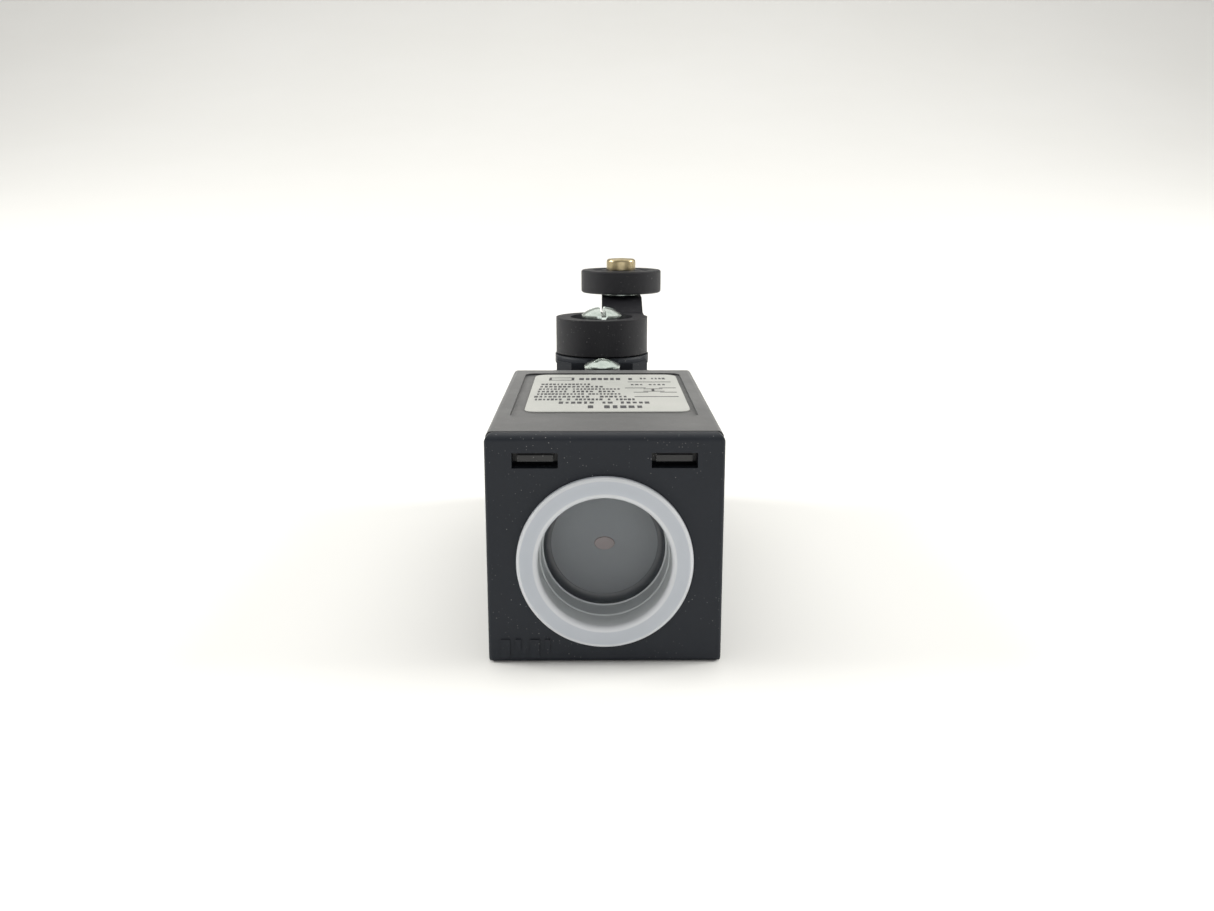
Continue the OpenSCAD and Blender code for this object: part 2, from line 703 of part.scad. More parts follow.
base_housing();
front_cover();
cover_gasket();
nameplate();
cover_screw();
screw_insert();
blanking_plug();
contact_block_base();
contact_block_cap();
contact_nc_left();
contact_nc_right();
contact_no_left();
contact_no_right();
terminal_screws();
clamp_saddles();
block_screws();
contact_carrier();
bridge_nc();
bridge_no();
bridge_springs();
return_spring();
head_gasket();
head_housing();
head_screws();
plunger_guide();
head_plunger();
plunger_spring();
shaft_bush();
shaft_seal();
lever_shaft();
cam();
cam_pin();
circlip();
lever_coupling();
lever_arm();
lever_washer();
lever_screw();
roller();
roller_bush();
roller_washer();
roller_axle();
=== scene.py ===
"""Looks of a 30 mm position switch with a roller lever, lying on its back.

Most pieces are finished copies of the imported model's nodes, with rounded edges
and a procedural material. The screws, springs, shaft seal, blanking plug and the
nameplate's print are built here. Metres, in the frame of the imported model.
"""
import json
import math

import bmesh
import bpy
from mathutils import Matrix, Vector


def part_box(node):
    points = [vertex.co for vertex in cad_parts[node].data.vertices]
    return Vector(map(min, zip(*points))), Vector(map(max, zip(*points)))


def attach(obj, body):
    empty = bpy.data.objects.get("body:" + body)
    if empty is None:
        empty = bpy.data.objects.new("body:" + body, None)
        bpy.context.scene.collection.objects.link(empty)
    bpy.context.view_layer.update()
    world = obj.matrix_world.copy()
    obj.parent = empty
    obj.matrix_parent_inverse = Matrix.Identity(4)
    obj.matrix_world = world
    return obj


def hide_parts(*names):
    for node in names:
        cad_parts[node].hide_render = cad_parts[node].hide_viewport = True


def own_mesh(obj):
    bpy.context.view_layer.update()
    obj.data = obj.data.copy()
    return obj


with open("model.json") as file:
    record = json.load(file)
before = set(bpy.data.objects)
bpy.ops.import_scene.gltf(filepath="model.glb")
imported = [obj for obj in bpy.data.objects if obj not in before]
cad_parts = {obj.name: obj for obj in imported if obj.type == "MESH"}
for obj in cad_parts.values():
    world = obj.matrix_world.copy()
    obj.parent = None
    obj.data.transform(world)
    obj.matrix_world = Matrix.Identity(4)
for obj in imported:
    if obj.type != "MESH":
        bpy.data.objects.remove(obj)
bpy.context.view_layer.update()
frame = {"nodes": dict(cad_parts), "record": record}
nodes = frame["nodes"]
scene = bpy.context.scene
MM = 0.001
RIM = "rounded_rim"  # attribute that is 1 on the rounded edges of a piece
SHARP = math.radians(35)  # faces that meet at more than this make an edge
WELD = 0.2e-6  # corners closer than this are one corner


# ---- camera, stage and light ----

CONDUIT_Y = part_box("base_housing")[0].y
CAMERA_PITCH, CAMERA_YAW = 13.0, -0.56
WARM_WHITE = (1, 0.995, 0.965)
WALL_COLOUR = (1.0, 0.985, 0.96, 1)
FLOOR_DROP = 0.02 * MM  # gap under the mounting face


def add_camera():
    """Camera in front of the conduit face, looking a little down on it."""
    data = bpy.data.cameras.new("camera")
    data.lens = 33.2
    data.clip_start = 0.01
    data.clip_end = 20
    camera = bpy.data.objects.new("camera", data)
    scene.collection.objects.link(camera)
    camera.location = (-1.05 * MM, CONDUIT_Y - 134.8 * MM, 58.57 * MM)
    camera.rotation_euler = (math.radians(90 - CAMERA_PITCH), 0, math.radians(CAMERA_YAW))
    scene.camera = camera


def add_area_light(name, place, target, size, power, colour):
    data = bpy.data.lights.new(name, "AREA")
    data.shape = "RECTANGLE"
    data.size, data.size_y = size
    data.energy = power
    data.color = colour
    light = bpy.data.objects.new(name, data)
    scene.collection.objects.link(light)
    light.location = place
    light.rotation_euler = (Vector(target) - Vector(place)).to_track_quat("-Z", "Y").to_euler()


def add_stage():
    """Pale floor that curves up into a backdrop and widens towards it."""
    near, bend, radius, steps = -1.2, 0.3, 2.4, 40
    profile = [(near, 0.0), (bend, 0.0)]
    for i in range(1, steps + 1):
        a = math.radians(90) * i / steps
        profile.append((bend + radius * math.sin(a), radius - radius * math.cos(a)))
    bm = bmesh.new()
    rows = []
    for y, z in profile:
        half_w = 1 + max(y, 0) / 2
        rows.append([bm.verts.new((x, y, z - FLOOR_DROP)) for x in (-half_w, half_w)])
    for a, b in zip(rows, rows[1:]):
        bm.faces.new((a[0], a[1], b[1], b[0]))
    mesh = bpy.data.meshes.new("floor")
    bm.to_mesh(mesh)
    bm.free()
    for face in mesh.polygons:
        face.use_smooth = True
    floor = bpy.data.objects.new("floor", mesh)
    scene.collection.objects.link(floor)
    mesh.materials.append(floor_paper())


def add_world():
    """Dim, warm studio walls as light; the same walls look bright where they show past the floor."""
    world = bpy.data.worlds.new("studio")
    world.use_nodes = True
    scene.world = world
    tree = world.node_tree
    walls = tree.nodes["Background"]
    seen_walls = tree.nodes.new("ShaderNodeBackground")
    for background, strength in ((walls, 0.3), (seen_walls, 0.9)):
        background.inputs["Color"].default_value = WALL_COLOUR
        background.inputs["Strength"].default_value = strength
    path = tree.nodes.new("ShaderNodeLightPath")
    either = tree.nodes.new("ShaderNodeMixShader")
    tree.links.new(path.outputs["Is Camera Ray"], either.inputs["Fac"])
    tree.links.new(walls.outputs["Background"], either.inputs[1])
    tree.links.new(seen_walls.outputs["Background"], either.inputs[2])
    tree.links.new(either.outputs["Shader"], tree.nodes["World Output"].inputs["Surface"])


# ---- shader helpers and groups ----

def link(tree, source, target):
    tree.links.new(source, target)


def add_node(tree, kind, **values):
    """Adds a node; a key in values is a property, or an input when it has a capital or a space."""
    made = tree.nodes.new(kind)
    for key, value in values.items():
        if hasattr(made, key):
            setattr(made, key, value)
        else:
            made.inputs[key.replace("_", " ")].default_value = value
    return made


def new_group(name, inputs, outputs):
    tree = bpy.data.node_groups.new(name, "ShaderNodeTree")
    for label, kind, value in inputs:
        socket = tree.interface.new_socket(name=label, in_out="INPUT", socket_type=kind)
        socket.default_value = value
    for label, kind in outputs:
        tree.interface.new_socket(name=label, in_out="OUTPUT", socket_type=kind)
    return tree, tree.nodes.new("NodeGroupInput"), tree.nodes.new("NodeGroupOutput")


def math_node(tree, operation, a, b=None, clamp=False):
    made = tree.nodes.new("ShaderNodeMath")
    made.operation = operation
    made.use_clamp = clamp
    for socket, value in zip(made.inputs, (a, b)):
        if value is None:
            continue
        if isinstance(value, (int, float)):
            socket.default_value = value
        else:
            link(tree, value, socket)
    return made.outputs[0]


def map_range(tree, value, low, high, to_low=0.0, to_high=1.0):
    made = tree.nodes.new("ShaderNodeMapRange")
    link(tree, value, made.inputs["Value"])
    labels = ("From Min", "From Max", "To Min", "To Max")
    for label, number in zip(labels, (low, high, to_low, to_high)):
        made.inputs[label].default_value = number
    return made.outputs["Result"]


def moulded_grain_group():
    """Fine spark-eroded texture and slow mottling of a moulded surface."""
    tree, given, made = new_group(
        "moulded_grain",
        [("Grain per metre", "NodeSocketFloat", 5200.0),
         ("Mottle per metre", "NodeSocketFloat", 160.0)],
        [("Height", "NodeSocketFloat"), ("Mottle", "NodeSocketFloat")])
    place = add_node(tree, "ShaderNodeTexCoord")
    grain = add_node(tree, "ShaderNodeTexNoise", Detail=2.0, Roughness=0.55)
    mottle = add_node(tree, "ShaderNodeTexNoise", Detail=3.0, Roughness=0.6)
    for noise, label in ((grain, "Grain per metre"), (mottle, "Mottle per metre")):
        link(tree, place.outputs["Object"], noise.inputs["Vector"])
        link(tree, given.outputs[label], noise.inputs["Scale"])
    link(tree, grain.outputs["Fac"], made.inputs["Height"])
    link(tree, map_range(tree, mottle.outputs["Fac"], 0.3, 0.7), made.inputs["Mottle"])
    return tree


def worn_and_highlit_edge_group():
    """Mask of lighter outer edges, partly rubbed wear and partly a painted highlight, broken up by
    noise.
    """
    tree, given, made = new_group(
        "edge_wear", [("Amount", "NodeSocketFloat", 0.5)], [("Mask", "NodeSocketFloat")])
    place = add_node(tree, "ShaderNodeTexCoord")
    rim = add_node(tree, "ShaderNodeAttribute", attribute_name=RIM)
    breaks = add_node(tree, "ShaderNodeTexNoise", Scale=900.0, Detail=3.0)
    link(tree, place.outputs["Object"], breaks.inputs["Vector"])
    broken = map_range(tree, breaks.outputs["Fac"], 0.35, 0.65)
    rubbed = math_node(tree, "MULTIPLY", rim.outputs["Fac"], broken)
    mask = math_node(tree, "MULTIPLY", rubbed, given.outputs["Amount"], clamp=True)
    link(tree, mask, made.inputs["Mask"])
    return tree


def dust_group():
    """Mask of pale specks, about a tenth of a millimetre across, gathered in drifts."""
    tree, given, made = new_group(
        "dust", [("Amount", "NodeSocketFloat", 0.5), ("Cells per metre", "NodeSocketFloat", 2600.0)],
        [("Mask", "NodeSocketFloat")])
    place = add_node(tree, "ShaderNodeTexCoord")
    cells = add_node(tree, "ShaderNodeTexVoronoi", Randomness=1.0)
    link(tree, place.outputs["Object"], cells.inputs["Vector"])
    link(tree, given.outputs["Cells per metre"], cells.inputs["Scale"])
    speck = map_range(tree, cells.outputs["Distance"], 0.2, 0.07)
    chosen = add_node(tree, "ShaderNodeSeparateColor")
    link(tree, cells.outputs["Color"], chosen.inputs["Color"])
    rare = map_range(tree, chosen.outputs[0], 0.7, 0.97)
    drift = add_node(tree, "ShaderNodeTexNoise", Scale=110.0, Detail=2.0)
    link(tree, place.outputs["Object"], drift.inputs["Vector"])
    settled = map_range(tree, drift.outputs["Fac"], 0.4, 0.62)
    some = math_node(tree, "MULTIPLY", math_node(tree, "MULTIPLY", speck, rare), settled)
    mask = math_node(tree, "MULTIPLY", some, given.outputs["Amount"], clamp=True)
    link(tree, mask, made.inputs["Mask"])
    return tree


def plating_group():
    """Cloudy patches and fine scratches of a plated or drawn metal surface."""
    tree, given, made = new_group(
        "plating", [("Clouds per metre", "NodeSocketFloat", 700.0)],
        [("Cloud", "NodeSocketFloat"), ("Height", "NodeSocketFloat")])
    place = add_node(tree, "ShaderNodeTexCoord")
    cloud = add_node(tree, "ShaderNodeTexNoise", Detail=4.0, Roughness=0.65)
    link(tree, place.outputs["Object"], cloud.inputs["Vector"])
    link(tree, given.outputs["Clouds per metre"], cloud.inputs["Scale"])
    stretch = add_node(tree, "ShaderNodeMapping")
    stretch.inputs["Scale"].default_value = (1, 9, 9)
    stretch.inputs["Rotation"].default_value = (0.3, 0.2, 0.5)
    link(tree, place.outputs["Object"], stretch.inputs["Vector"])
    scratch = add_node(tree, "ShaderNodeTexNoise", Scale=1800.0, Detail=2.0)
    link(tree, stretch.outputs["Vector"], scratch.inputs["Vector"])
    link(tree, map_range(tree, cloud.outputs["Fac"], 0.3, 0.7), made.inputs["Cloud"])
    link(tree, scratch.outputs["Fac"], made.inputs["Height"])
    return tree


GROUPS = {}


def use_group(tree, build, **values):
    if build.__name__ not in GROUPS:
        GROUPS[build.__name__] = build()
    made = tree.nodes.new("ShaderNodeGroup")
    made.node_tree = GROUPS[build.__name__]
    for key, value in values.items():
        made.inputs[key.replace("_", " ")].default_value = value
    return made


def new_material(name):
    material = bpy.data.materials.new(name)
    material.use_nodes = True
    tree = material.node_tree
    return material, tree, tree.nodes["Principled BSDF"]


def mix_colour(tree, factor, a, b):
    made = tree.nodes.new("ShaderNodeMix")
    made.data_type = "RGBA"
    link(tree, factor, made.inputs["Factor"])
    for socket, value in ((made.inputs[6], a), (made.inputs[7], b)):
        if isinstance(value, tuple):
            socket.default_value = (*value, 1)
        else:
            link(tree, value, socket)
    return made.outputs[2]


def add_bump(tree, height, strength, distance, shader):
    bump = add_node(tree, "ShaderNodeBump", Strength=strength, Distance=distance)
    link(tree, height, bump.inputs["Height"])
    link(tree, bump.outputs["Normal"], shader.inputs["Normal"])


# ---- materials ----

def moulded_plastic(name, dark, light, worn_and_highlit, rough, grain=5200.0, depth=0.02 * MM, worn_and_highlit_amount=0.5,
                    dust=0.6, gloss=0.25, haze=0.0):
    """Dyed, textured moulding: mottled colour, lighter rounded edges (partly rubbed wear, partly a
    painted highlight), specks of dust.
    """
    material, tree, shader = new_material(name)
    skin = use_group(tree, moulded_grain_group, Grain_per_metre=grain)
    edges = use_group(tree, worn_and_highlit_edge_group, Amount=worn_and_highlit_amount)
    specks = use_group(tree, dust_group, Amount=dust)
    colour = mix_colour(tree, skin.outputs["Mottle"], dark, light)
    # The rounded edges are painted lighter: partly rubbed wear, partly a painted highlight.
    colour = mix_colour(tree, edges.outputs["Mask"], colour, worn_and_highlit)
    colour = mix_colour(tree, specks.outputs["Mask"], colour, (0.5, 0.5, 0.48))
    link(tree, colour, shader.inputs["Base Color"])
    roughness = map_range(tree, skin.outputs["Mottle"], 0, 1, rough - 0.05, rough + 0.05)
    link(tree, roughness, shader.inputs["Roughness"])
    shader.inputs["Specular IOR Level"].default_value = gloss
    shader.inputs["Sheen Weight"].default_value = haze
    shader.inputs["Sheen Roughness"].default_value = 0.4
    add_bump(tree, skin.outputs["Height"], 0.5, depth, shader)
    return material


def plated_metal(name, colour, shade, rough, spread=0.12, height=0.15):
    material, tree, shader = new_material(name)
    skin = use_group(tree, plating_group)
    edges = use_group(tree, worn_and_highlit_edge_group, Amount=0.35)
    base = mix_colour(tree, skin.outputs["Cloud"], colour, shade)
    # Rounded edges are painted brighter than the plating: partly worn plating, partly a painted
    # highlight.
    bright = tuple(min(1, c * 1.2) for c in colour)
    link(tree, mix_colour(tree, edges.outputs["Mask"], base, bright), shader.inputs["Base Color"])
    shader.inputs["Metallic"].default_value = 1.0
    roughness = map_range(tree, skin.outputs["Cloud"], 0, 1, rough, rough + spread)
    link(tree, roughness, shader.inputs["Roughness"])
    add_bump(tree, skin.outputs["Height"], height, 0.01 * MM, shader)
    return material


def polyethylene(name, dark, light, clear):
    """Milky natural polyethylene; clear is the share of light that passes."""
    material, tree, shader = new_material(name)
    skin = use_group(tree, moulded_grain_group, Grain_per_metre=2600.0, Mottle_per_metre=60.0)
    link(tree, mix_colour(tree, skin.outputs["Mottle"], dark, light), shader.inputs["Base Color"])
    link(tree, map_range(tree, skin.outputs["Mottle"], 0, 1, 0.29, 0.36), shader.inputs["Roughness"])
    shader.inputs["Transmission Weight"].default_value = clear
    shader.inputs["IOR"].default_value = 1.5
    add_bump(tree, skin.outputs["Height"], 0.2, 0.008 * MM, shader)
    return material


def label_foil():
    """Satin silver-white foil with a faint laid grain."""
    material, tree, shader = new_material("label_foil")
    skin = use_group(tree, moulded_grain_group, Grain_per_metre=4000.0, Mottle_per_metre=90.0)
    colour = mix_colour(tree, skin.outputs["Mottle"], (0.495, 0.505, 0.475), (0.56, 0.56, 0.53))
    link(tree, colour, shader.inputs["Base Color"])
    link(tree, map_range(tree, skin.outputs["Mottle"], 0, 1, 0.42, 0.5), shader.inputs["Roughness"])
    shader.inputs["Metallic"].default_value = 0.1
    add_bump(tree, skin.outputs["Height"], 0.2, 0.008 * MM, shader)
    return material


def print_ink():
    material, tree, shader = new_material("print_ink")
    skin = use_group(tree, moulded_grain_group, Grain_per_metre=9000.0, Mottle_per_metre=500.0)
    colour = mix_colour(tree, skin.outputs["Mottle"], (0.03, 0.03, 0.035), (0.07, 0.07, 0.075))
    link(tree, colour, shader.inputs["Base Color"])
    shader.inputs["Roughness"].default_value = 0.5
    return material


def seal_rubber():
    material, tree, shader = new_material("seal_rubber")
    skin = use_group(tree, moulded_grain_group, Grain_per_metre=3000.0, Mottle_per_metre=300.0)
    colour = mix_colour(tree, skin.outputs["Mottle"], (0.012, 0.012, 0.012), (0.03, 0.03, 0.03))
    link(tree, colour, shader.inputs["Base Color"])
    link(tree, map_range(tree, skin.outputs["Mottle"], 0, 1, 0.6, 0.8), shader.inputs["Roughness"])
    add_bump(tree, skin.outputs["Height"], 0.4, 0.02 * MM, shader)
    return material


def floor_paper():
    material, tree, shader = new_material("floor_paper")
    skin = use_group(tree, moulded_grain_group, Grain_per_metre=900.0, Mottle_per_metre=4.0)
    colour = mix_colour(tree, skin.outputs["Mottle"], (0.93, 0.925, 0.9), (0.95, 0.945, 0.925))
    link(tree, colour, shader.inputs["Base Color"])
    shader.inputs["Roughness"].default_value = 0.85
    return material


def make_materials():
    """Finish of each of the record's material slots."""
    return {
        # The third colour of each moulding goes on its rounded edges: partly rubbed wear, partly a
        # painted highlight.
        "housing_plastic": moulded_plastic(
            "housing_plastic", (0.012, 0.015, 0.021), (0.016, 0.019, 0.025), (0.07, 0.075, 0.08), 0.5),
        "cover_plastic": moulded_plastic(
            "cover_plastic", (0.016, 0.016, 0.017), (0.022, 0.022, 0.023), (0.09, 0.09, 0.09), 0.4,
            gloss=0.45, haze=0.24),
        "lever_plastic": moulded_plastic(
            "lever_plastic", (0.01, 0.01, 0.013), (0.015, 0.015, 0.018), (0.05, 0.05, 0.05), 0.5,
            grain=3600.0, depth=0.03 * MM),
        "block_plastic": moulded_plastic(
            "block_plastic", (0.6, 0.57, 0.48), (0.68, 0.65, 0.57), (0.75, 0.72, 0.65), 0.5,
            worn_and_highlit_amount=0.3, dust=0.1),
        "carrier_plastic": moulded_plastic(
            "carrier_plastic", (0.38, 0.04, 0.03), (0.46, 0.06, 0.04), (0.6, 0.2, 0.15), 0.42,
            worn_and_highlit_amount=0.3, dust=0.1),
        "plug_plastic": polyethylene("plug_flange", (0.565, 0.605, 0.665), (0.605, 0.64, 0.695), 0.2),
        "zinc_steel": plated_metal("zinc_plate", (0.57, 0.63, 0.585), (0.38, 0.43, 0.4), 0.19, 0.07),
        "spring_steel": plated_metal("spring_wire", (0.55, 0.56, 0.58), (0.42, 0.43, 0.45), 0.29, 0.1),
        "brass": plated_metal("turned_brass", (0.5, 0.42, 0.26), (0.34, 0.28, 0.16), 0.3, 0.08),
        "contact_copper": plated_metal("contact_copper", (0.72, 0.42, 0.26), (0.58, 0.33, 0.2), 0.3),
        "label_foil": label_foil(),
        "seal_rubber": seal_rubber(),
    }


# ---- mesh helpers ----

def smooth_by_angle(mesh, degrees=32):
    for face in mesh.polygons:
        face.use_smooth = True
    mesh.set_sharp_from_angle(angle=math.radians(degrees))


def bake_modifiers(piece):
    """Turns a piece and its modifiers into one plain mesh."""
    bpy.context.view_layer.update()
    graph = bpy.context.evaluated_depsgraph_get()
    mesh = bpy.data.meshes.new_from_object(piece.evaluated_get(graph))
    piece.modifiers.clear()
    old = piece.data
    piece.data = mesh
    bpy.data.meshes.remove(old)
    return piece


def clean_copy(node):
    """The CAD node's surface with its triangles merged into whole faces."""
    bm = bmesh.new()
    bm.from_mesh(nodes[node].data)
    bmesh.ops.remove_doubles(bm, verts=bm.verts, dist=WELD)
    bmesh.ops.dissolve_limit(bm, angle_limit=math.radians(0.4), verts=bm.verts, edges=bm.edges,
                             use_dissolve_boundaries=False)
    mesh = bpy.data.meshes.new(node + "_surface")
    bm.to_mesh(mesh)
    bm.free()
    return mesh


def add_piece(name, mesh, body, slot, replaced=()):
    piece = bpy.data.objects.new(name, mesh)
    scene.collection.objects.link(piece)
    if not mesh.materials:
        mesh.materials.append(materials[slot])
    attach(piece, body)
    if replaced:
        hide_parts(*replaced)
    return piece


def store_rims(mesh):
    """Moves the mark on the rounded edges from the second material slot to an attribute."""
    rims = mesh.attributes.new(RIM, "FLOAT", "CORNER")
    for face in mesh.polygons:
        if face.material_index == 1:
            for corner in face.loop_indices:
                rims.data[corner].value = 1.0
            face.material_index = 0


def mark_outer_edges(mesh, bevel, room_needed=2.2):
    """Weighs the edges to round: sharp and standing out, with room for the radius on both sides."""
    bm = bmesh.new()
    bm.from_mesh(mesh)
    weight = bm.edges.layers.float.new("bevel_weight_edge")
    for edge in bm.edges:
        if len(edge.link_faces) != 2 or not edge.is_convex or edge.calc_face_angle() < SHARP:
            continue
        room = min(face.calc_area() for face in edge.link_faces) / max(edge.calc_length(), 1e-9)
        edge[weight] = 1.0 if room > room_needed * bevel else 0.0
    bm.to_mesh(mesh)
    bm.free()


def add_rounding(piece, bevel, segments):
    rounding = piece.modifiers.new("edges", "BEVEL")
    rounding.width = bevel
    rounding.segments = segments
    rounding.miter_outer = "MITER_ARC"
    rounding.use_clamp_overlap = True
    return rounding


def softened(node, bevel, segments=2):
    """Finished copy of a CAD node: sharp outer edges rounded by bevel, in millimetres."""
    piece = bpy.data.objects.new(node + "_shell", clean_copy(node))
    scene.collection.objects.link(piece)
    mark_outer_edges(piece.data, bevel * MM)
    for _ in range(2):
        piece.data.materials.append(materials[slot_of(node)])
    rounding = add_rounding(piece, bevel * MM, segments)
    rounding.limit_method, rounding.material = "WEIGHT", 1
    bake_modifiers(piece)
    store_rims(piece.data)
    smooth_by_angle(piece.data)
    flatten = piece.modifiers.new("flat_faces", "WEIGHTED_NORMAL")
    flatten.keep_sharp = True
    bake_modifiers(piece)
    mesh = piece.data
    bpy.data.objects.remove(piece)
    mesh.materials.clear()
    return add_piece(node + "_shell", mesh, body_of(node), slot_of(node), (node,))


def body_of(node):
    return next(b for b, members in frame["record"]["behaviour"]["bodies"].items() if node in members)


def slot_of(node):
    return next(s["material_slot"] for s in frame["record"]["subparts"] if s["node"] == node)


# ---- geometry node trees ----

def new_tree(name, sizes):
    """Empty Geometry Nodes tree with named inputs: the places, the sizes and the material."""
    tree = bpy.data.node_groups.new(name, "GeometryNodeTree")
    tree.interface.new_socket(name="Geometry", in_out="INPUT", socket_type="NodeSocketGeometry")
    for label, kind in sizes:
        tree.interface.new_socket(name=label, in_out="INPUT", socket_type="NodeSocket" + kind)
    tree.interface.new_socket(name="Material", in_out="INPUT", socket_type="NodeSocketMaterial")
    tree.interface.new_socket(name="Geometry", in_out="OUTPUT", socket_type="NodeSocketGeometry")
    return tree, tree.nodes.new("NodeGroupInput")


def end_tree(tree, given, source):
    """Realises the instances and gives the result its material."""
    real = tree.nodes.new("GeometryNodeRealizeInstances")
    paint = tree.nodes.new("GeometryNodeSetMaterial")
    out = tree.nodes.new("NodeGroupOutput")
    link(tree, source, real.inputs[0])
    link(tree, real.outputs[0], paint.inputs["Geometry"])
    link(tree, given.outputs["Material"], paint.inputs["Material"])
    link(tree, paint.outputs[0], out.inputs[0])
    return tree


def vector_of(tree, x=0.0, y=0.0, z=0.0):
    """Vector whose parts are numbers or sockets."""
    made = tree.nodes.new("ShaderNodeCombineXYZ")
    for socket, value in zip(made.inputs, (x, y, z)):
        if isinstance(value, (int, float)):
            socket.default_value = value
        else:
            link(tree, value, socket)
    return made.outputs[0]


def transformed(tree, source, offset=None, turn=(0, 0, 0), scale=None):
    made = tree.nodes.new("GeometryNodeTransform")
    link(tree, source, made.inputs["Geometry"])
    made.inputs["Rotation"].default_value = tuple(math.radians(a) for a in turn)
    if offset is not None:
        link(tree, offset, made.inputs["Translation"])
    if scale is not None:
        link(tree, scale, made.inputs["Scale"])
    return made.outputs[0]


def spring_tree():
    """Helical spring along +Y from the origin, wound from a spiral and a round wire."""
    tree, given = new_tree("spring", [("Mean Radius", "Float"), ("Wire Radius", "Float"),
                                      ("Length", "Float"), ("Turns", "Float")])
    spiral = add_node(tree, "GeometryNodeCurveSpiral", Resolution=28)
    wire = add_node(tree, "GeometryNodeCurvePrimitiveCircle", Resolution=10)
    sweep = tree.nodes.new("GeometryNodeCurveToMesh")
    sweep.inputs["Fill Caps"].default_value = True
    wires = math_node(tree, "MULTIPLY", given.outputs["Wire Radius"], 2.0)
    for label in ("Start Radius", "End Radius"):
        link(tree, given.outputs["Mean Radius"], spiral.inputs[label])
    link(tree, given.outputs["Turns"], spiral.inputs["Rotations"])
    link(tree, math_node(tree, "SUBTRACT", given.outputs["Length"], wires), spiral.inputs["Height"])
    link(tree, given.outputs["Wire Radius"], wire.inputs["Radius"])
    link(tree, spiral.outputs[0], sweep.inputs["Curve"])
    link(tree, wire.outputs[0], sweep.inputs["Profile Curve"])
    start = vector_of(tree, y=given.outputs["Wire Radius"])
    laid = transformed(tree, sweep.outputs[0], start, (-90, 0, 0))
    return end_tree(tree, given, placed(tree, given.outputs["Geometry"], laid))


def ring_tree():
    """Round-section ring about Z, such as a seal."""
    tree, given = new_tree("ring", [("Mean Radius", "Float"), ("Section Radius", "Float")])
    path = add_node(tree, "GeometryNodeCurvePrimitiveCircle", Resolution=64)
    section = add_node(tree, "GeometryNodeCurvePrimitiveCircle", Resolution=16)
    sweep = tree.nodes.new("GeometryNodeCurveToMesh")
    link(tree, given.outputs["Mean Radius"], path.inputs["Radius"])
    link(tree, given.outputs["Section Radius"], section.inputs["Radius"])
    link(tree, path.outputs[0], sweep.inputs["Curve"])
    link(tree, section.outputs[0], sweep.inputs["Profile Curve"])
    return end_tree(tree, given, placed(tree, given.outputs["Geometry"], sweep.outputs[0]))


def placed(tree, points, shape, **values):
    """One instance of a shape on each point, turned or scaled by the sockets in values."""
    made = tree.nodes.new("GeometryNodeInstanceOnPoints")
    link(tree, points, made.inputs["Points"])
    link(tree, shape, made.inputs["Instance"])
    for label, socket in values.items():
        link(tree, socket, made.inputs[label])
    return made.outputs[0]


# A screw's recess, as shares of its head's radius or of its head's height
RECESS = {"length": 1.25, "width": 0.24, "centre": 0.3, "wing height": 0.98, "centre height": 0.35}


